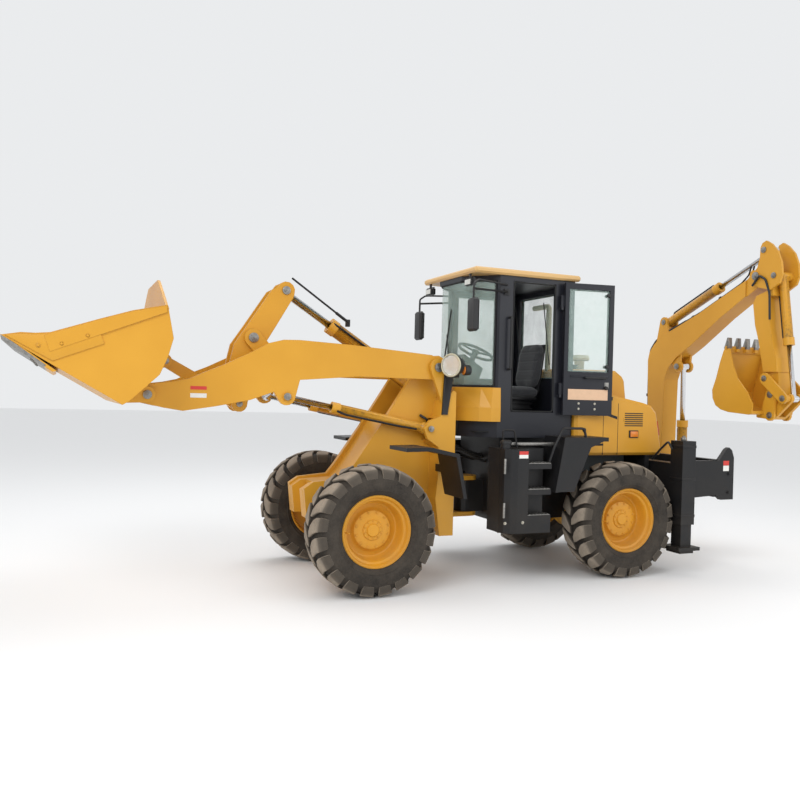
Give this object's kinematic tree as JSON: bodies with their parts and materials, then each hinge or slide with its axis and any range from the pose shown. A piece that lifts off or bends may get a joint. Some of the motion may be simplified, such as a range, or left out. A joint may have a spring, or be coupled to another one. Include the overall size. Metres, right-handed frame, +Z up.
{
  "type": "articulated backhoe loader",
  "caption": "Centre-hinged wheel loader with a front bucket on lift arms, an enclosed cab, a rear engine hood and a side-shift backhoe folded at its back.",
  "frame": {"origin": "On the ground plane, under the middle of the whole bounding box.", "axes": "+X towards the loader bucket, +Y to the machine's left, +Z up."},
  "size_m": [7.765, 2.644, 3.555],
  "materials": {
    "yellow_paint": "construction-yellow paint, satin",
    "roof_paint": "pale yellow paint, satin",
    "black_paint": "charcoal paint, satin",
    "cab_paint": "blue-grey paint, satin",
    "tyre_rubber": "worn rubber",
    "rod_chrome": "polished",
    "seat_cloth": "woven",
    "black_plastic": "matt",
    "engine_iron": "painted casting",
    "intake_beige": "satin"
  },
  "bodies": {
    "chassis": {"rear_frame": "black_paint", "rear_axle": "yellow_paint", "hood": "yellow_paint", "engine_block": "engine_iron", "air_intake": "intake_beige", "cab_shell": "cab_paint", "cab_roof": "roof_paint", "seat": "seat_cloth", "dashboard": "black_plastic", "cowl": "yellow_paint", "tank_left": "black_paint", "tank_right": "black_paint", "rear_fender_left": "black_paint", "rear_fender_right": "black_paint", "mirror_left": "black_plastic", "mirror_right": "black_plastic", "stabilizer_frame": "black_paint"},
    "front_body": {"front_frame": "yellow_paint", "front_axle": "yellow_paint", "front_fender_left": "black_paint", "front_fender_right": "black_paint", "headlamp_left": "black_paint", "headlamp_right": "black_paint"},
    "loader_arms": {"lift_arms": "yellow_paint"},
    "crank": {"bellcrank": "yellow_paint"},
    "link": {"bucket_link": "yellow_paint"},
    "front_bucket": {"loader_bucket": "yellow_paint"},
    "tilt_cylinder": {"tilt_barrel": "yellow_paint"},
    "tilt_piston": {"tilt_rod": "rod_chrome"},
    "door": {"cab_door": "cab_paint"},
    "hand_wheel": {"steering_wheel": "black_plastic"},
    "carriage": {"side_carriage": "yellow_paint"},
    "slew_post": {"swing_post": "yellow_paint"},
    "hoe_boom": {"boom": "yellow_paint"},
    "hoe_dipper": {"dipper": "yellow_paint"},
    "hoe_bucket": {"digging_bucket": "yellow_paint"},
    "hoe_rocker": {"rocker": "yellow_paint"},
    "hoe_link": {"push_link": "yellow_paint"},
    "boom_cylinder": {"boom_barrel": "yellow_paint"},
    "boom_piston": {"boom_rod": "rod_chrome"},
    "dipper_cylinder": {"dipper_barrel": "yellow_paint"},
    "dipper_piston": {"dipper_rod": "rod_chrome"},
    "dig_cylinder": {"bucket_barrel": "yellow_paint"},
    "dig_piston": {"bucket_rod": "rod_chrome"},
    "front_left_wheel": {"front_left_rim": "yellow_paint", "front_left_tyre": "tyre_rubber"},
    "rear_left_wheel": {"rear_left_rim": "yellow_paint", "rear_left_tyre": "tyre_rubber"},
    "lift_left_cylinder": {"lift_left_barrel": "yellow_paint"},
    "lift_left_piston": {"lift_left_rod": "rod_chrome"},
    "left_leg": {"stabilizer_left": "black_paint"},
    "front_right_wheel": {"front_right_rim": "yellow_paint", "front_right_tyre": "tyre_rubber"},
    "rear_right_wheel": {"rear_right_rim": "yellow_paint", "rear_right_tyre": "tyre_rubber"},
    "lift_right_cylinder": {"lift_right_barrel": "yellow_paint"},
    "lift_right_piston": {"lift_right_rod": "rod_chrome"},
    "right_leg": {"stabilizer_right": "black_paint"}
  },
  "joints": [
    {"name": "steering", "type": "hinge", "parent": "chassis", "child": "front_body", "pos_m": [-0.5, -0.2, 0.5875], "axis": [0, 0, 1], "range_deg": [-30, 30]},
    {"name": "front_left_spin", "type": "hinge", "parent": "front_body", "child": "front_left_wheel", "pos_m": [0.87, 0.62, 0.5875], "axis": [0, 1, 0], "continuous": true},
    {"name": "rear_left_spin", "type": "hinge", "parent": "chassis", "child": "rear_left_wheel", "pos_m": [-1.87, 0.62, 0.5875], "axis": [0, 1, 0], "continuous": true},
    {"name": "front_right_spin", "type": "hinge", "parent": "front_body", "child": "front_right_wheel", "pos_m": [0.87, -1.02, 0.5875], "axis": [0, 1, 0], "continuous": true},
    {"name": "rear_right_spin", "type": "hinge", "parent": "chassis", "child": "rear_right_wheel", "pos_m": [-1.87, -1.02, 0.5875], "axis": [0, 1, 0], "continuous": true},
    {"name": "lift", "type": "hinge", "parent": "front_body", "child": "loader_arms", "pos_m": [0.07, -0.2, 2.08], "axis": [0, -1, 0], "range_deg": [-34, 38]},
    {"name": "bucket_tilt", "type": "hinge", "parent": "loader_arms", "child": "front_bucket", "pos_m": [2.79, -0.2, 1.75], "axis": [0, 1, 0], "range_deg": [-15, 100]},
    {"name": "crank_swing", "type": "hinge", "parent": "loader_arms", "child": "crank", "pos_m": [1.82, -0.2, 2.3], "axis": [0, 1, 0], "range_deg": [-40.5, 6.5]},
    {"name": "link_swing", "type": "hinge", "parent": "crank", "child": "link", "pos_m": [1.93, -0.2, 1.68], "axis": [0, 1, 0], "range_deg": [-10.1, 64.5]},
    {"name": "tilt_cylinder_swing", "type": "hinge", "parent": "front_body", "child": "tilt_cylinder", "pos_m": [0.15, -0.2, 1.905], "axis": [0, -1, 0], "range_deg": [-33.82, 37.74]},
    {"name": "tilt_rod_slide", "type": "slide", "parent": "tilt_cylinder", "child": "tilt_piston", "axis": [0.8452, 0, 0.5345], "range_m": [-0.3554, 0.055]},
    {"name": "lift_left_swing", "type": "hinge", "parent": "front_body", "child": "lift_left_cylinder", "pos_m": [0.14, 0.145, 1.48], "axis": [0, -1, 0], "range_deg": [-33.41, 37.28]},
    {"name": "lift_left_rod_slide", "type": "slide", "parent": "lift_left_cylinder", "child": "lift_left_piston", "axis": [0.9814, 0, 0.1922], "range_m": [-0.345, 0.3853]},
    {"name": "lift_right_swing", "type": "hinge", "parent": "front_body", "child": "lift_right_cylinder", "pos_m": [0.14, -0.545, 1.48], "axis": [0, -1, 0], "range_deg": [-33.41, 37.28]},
    {"name": "lift_right_rod_slide", "type": "slide", "parent": "lift_right_cylinder", "child": "lift_right_piston", "axis": [0.9814, 0, 0.1922], "range_m": [-0.345, 0.3853]},
    {"name": "door_swing", "type": "hinge", "parent": "chassis", "child": "door", "pos_m": [-1.27, 0.396, 1.5], "axis": [0, 0, -1], "range_deg": [0, 170]},
    {"name": "hand_wheel_turn", "type": "hinge", "parent": "chassis", "child": "hand_wheel", "pos_m": [-0.6, -0.2, 2.28], "axis": [-0.4191, 0, 0.908], "continuous": true},
    {"name": "left_leg_slide", "type": "slide", "parent": "chassis", "child": "left_leg", "axis": [0, 0, -1], "range_m": [0, 0.35]},
    {"name": "right_leg_slide", "type": "slide", "parent": "chassis", "child": "right_leg", "axis": [0, 0, -1], "range_m": [0, 0.35]},
    {"name": "side_shift", "type": "slide", "parent": "chassis", "child": "carriage", "axis": [0, 1, 0], "range_m": [0, 1.52]},
    {"name": "boom_swing", "type": "hinge", "parent": "carriage", "child": "slew_post", "pos_m": [-3.58, -0.96, 0.95], "axis": [0, 0, 1], "range_deg": [0, 180]},
    {"name": "boom_lift", "type": "hinge", "parent": "slew_post", "child": "hoe_boom", "pos_m": [-3.58, -0.7, 1.05], "axis": [-1, 0, 0], "range_deg": [0, 65]},
    {"name": "boom_cylinder_swing", "type": "hinge", "parent": "slew_post", "child": "boom_cylinder", "pos_m": [-3.58, -0.33, 0.72], "axis": [-1, 0, 0], "range_deg": [-0.5, 57.24]},
    {"name": "boom_rod_slide", "type": "slide", "parent": "boom_cylinder", "child": "boom_piston", "axis": [0, -0.0132, 0.9999], "range_m": [-0.508, 0.002]},
    {"name": "dipper_swing", "type": "hinge", "parent": "hoe_boom", "child": "hoe_dipper", "pos_m": [-3.58, 0.86, 3.19], "axis": [1, 0, 0], "range_deg": [-12, 75]},
    {"name": "dipper_cylinder_swing", "type": "hinge", "parent": "hoe_boom", "child": "dipper_cylinder", "pos_m": [-3.58, -0.62, 2.8], "axis": [1, 0, 0], "range_deg": [-0.99, 3.58]},
    {"name": "dipper_rod_slide", "type": "slide", "parent": "dipper_cylinder", "child": "dipper_piston", "axis": [0, 0.9219, 0.3875], "range_m": [-0.345, 0.0569]},
    {"name": "dig_curl", "type": "hinge", "parent": "hoe_dipper", "child": "hoe_bucket", "pos_m": [-3.58, 1.08, 1.91], "axis": [1, 0, 0], "range_deg": [0, 115]},
    {"name": "rocker_swing", "type": "hinge", "parent": "hoe_dipper", "child": "hoe_rocker", "pos_m": [-3.58, 1.03, 2.08], "axis": [1, 0, 0], "range_deg": [-0.5, 73.18]},
    {"name": "push_link_swing", "type": "hinge", "parent": "hoe_rocker", "child": "hoe_link", "pos_m": [-3.58, 1.27, 1.87], "axis": [1, 0, 0], "range_deg": [-22.81, 0.5]},
    {"name": "dig_cylinder_swing", "type": "hinge", "parent": "hoe_dipper", "child": "dig_cylinder", "pos_m": [-3.58, 1.09, 3.17], "axis": [1, 0, 0], "range_deg": [-0.5, 8.21]},
    {"name": "dig_rod_slide", "type": "slide", "parent": "dig_cylinder", "child": "dig_piston", "axis": [0, 0.1372, -0.9905], "range_m": [-0.3532, 0.002]}
  ],
  "couplings": [
    {"joint": "crank_swing", "follows": "bucket_tilt", "ratio": -0.4},
    {"joint": "link_swing", "follows": "bucket_tilt", "ratio": 0.64},
    {"joint": "tilt_cylinder_swing", "follows": "lift", "ratio": 0.98},
    {"joint": "tilt_rod_slide", "follows": "bucket_tilt", "m_per_rad": -0.2025},
    {"joint": "lift_left_swing", "follows": "lift", "ratio": 0.968},
    {"joint": "lift_left_rod_slide", "follows": "lift", "m_per_rad": 0.578},
    {"joint": "lift_right_swing", "follows": "lift", "ratio": 0.968},
    {"joint": "lift_right_rod_slide", "follows": "lift", "m_per_rad": 0.578},
    {"joint": "boom_cylinder_swing", "follows": "boom_lift", "ratio": 0.873},
    {"joint": "boom_rod_slide", "follows": "boom_lift", "m_per_rad": -0.446},
    {"joint": "dipper_cylinder_swing", "follows": "dipper_swing", "ratio": 0.041},
    {"joint": "dipper_rod_slide", "follows": "dipper_swing", "m_per_rad": -0.262},
    {"joint": "rocker_swing", "follows": "dig_curl", "ratio": 0.632},
    {"joint": "push_link_swing", "follows": "dig_curl", "ratio": -0.194},
    {"joint": "dig_cylinder_swing", "follows": "dig_curl", "ratio": 0.067},
    {"joint": "dig_rod_slide", "follows": "dig_curl", "m_per_rad": -0.175}
  ]
}
